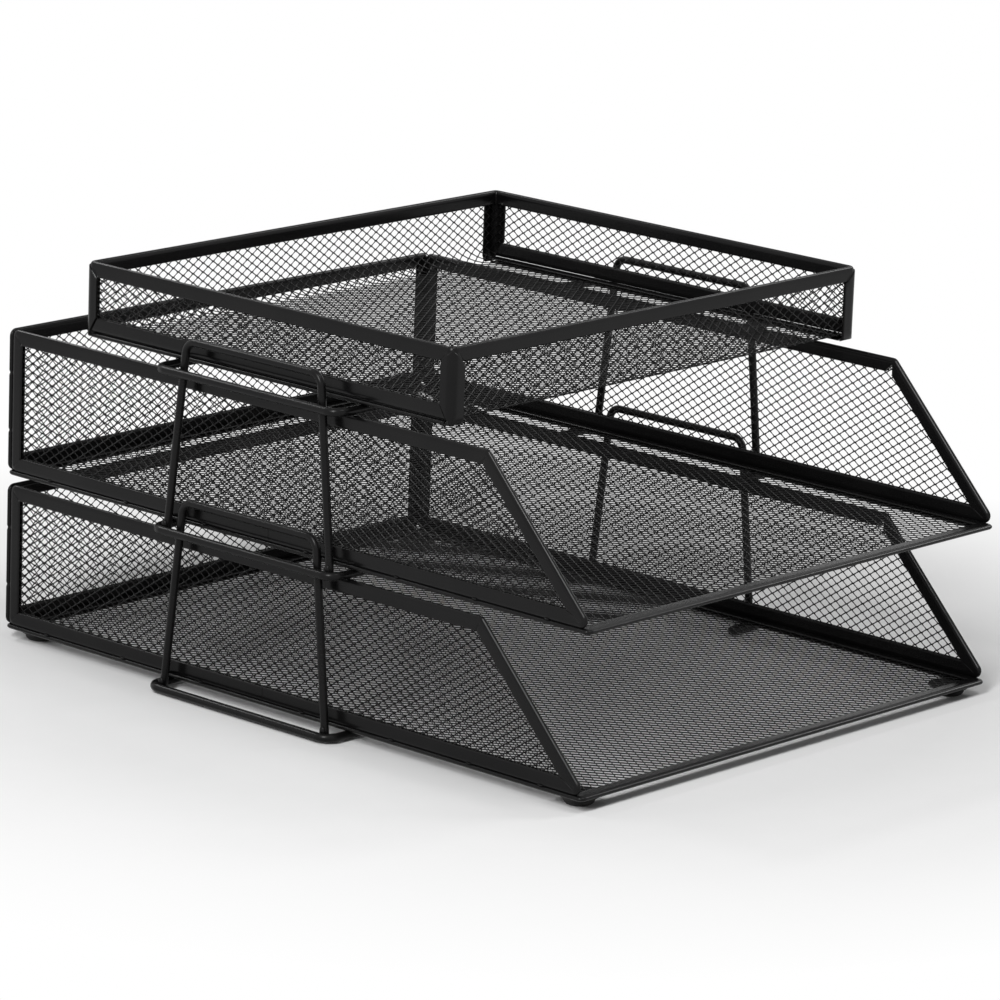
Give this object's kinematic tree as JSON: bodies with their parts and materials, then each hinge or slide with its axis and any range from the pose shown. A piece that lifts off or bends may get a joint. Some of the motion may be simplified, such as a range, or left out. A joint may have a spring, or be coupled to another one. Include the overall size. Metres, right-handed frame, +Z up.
{
  "type": "tiered paper tray",
  "caption": "Stacking steel-mesh desk trays: open-front letter trays joined by wire arches and loops, with a shallow lift-off mesh basket on top.",
  "frame": {"origin": "on the desk, under the middle of the stack", "axes": "+X to the right seen from the open front, +Y from the front lip to the back wall, +Z up"},
  "size_m": [0.275, 0.328, 0.1702],
  "materials": {
    "coated_mesh": "satin black powder coat on expanded steel mesh",
    "coated_strip": "satin black powder coat on folded steel strip",
    "coated_wire": "satin black powder coat on steel wire",
    "rubber": "matt black rubber"
  },
  "bodies": {
    "bottom_tray": {"back_left_foot": "rubber", "back_right_foot": "rubber", "bottom_back_wall_frame": "coated_strip", "bottom_back_wall_mesh": "coated_mesh", "bottom_floor_frame": "coated_strip", "bottom_floor_mesh": "coated_mesh", "bottom_left_loop": "coated_wire", "bottom_left_upright": "coated_wire", "bottom_left_wall_frame": "coated_strip", "bottom_left_wall_mesh": "coated_mesh", "bottom_right_loop": "coated_wire", "bottom_right_upright": "coated_wire", "bottom_right_wall_frame": "coated_strip", "bottom_right_wall_mesh": "coated_mesh", "front_left_foot": "rubber", "front_right_foot": "rubber"},
    "middle_tray": {"middle_back_wall_frame": "coated_strip", "middle_back_wall_mesh": "coated_mesh", "middle_floor_frame": "coated_strip", "middle_floor_mesh": "coated_mesh", "middle_left_loop": "coated_wire", "middle_left_upright": "coated_wire", "middle_left_wall_frame": "coated_strip", "middle_left_wall_mesh": "coated_mesh", "middle_right_loop": "coated_wire", "middle_right_upright": "coated_wire", "middle_right_wall_frame": "coated_strip", "middle_right_wall_mesh": "coated_mesh"},
    "top_tray": {"top_back_bend_mesh": "coated_mesh", "top_back_left_corner": "coated_strip", "top_back_mesh": "coated_mesh", "top_back_right_corner": "coated_strip", "top_back_rim": "coated_strip", "top_floor_mesh": "coated_mesh", "top_front_bend_mesh": "coated_mesh", "top_front_left_corner": "coated_strip", "top_front_mesh": "coated_mesh", "top_front_right_corner": "coated_strip", "top_front_rim": "coated_strip", "top_left_floor_strip": "coated_strip", "top_left_loop": "coated_wire", "top_left_rim": "coated_strip", "top_left_wall_mesh": "coated_mesh", "top_left_wall_strip": "coated_strip", "top_right_floor_strip": "coated_strip", "top_right_loop": "coated_wire", "top_right_rim": "coated_strip", "top_right_wall_mesh": "coated_mesh", "top_right_wall_strip": "coated_strip"}
  },
  "joints": [
    {"name": "middle_tray_lift", "type": "slide", "parent": "bottom_tray", "child": "middle_tray", "axis": [0, 0, 1], "range_m": [0, 0.06]},
    {"name": "top_tray_lift", "type": "slide", "parent": "middle_tray", "child": "top_tray", "axis": [0, 0, 1], "range_m": [0, 0.06]}
  ]
}
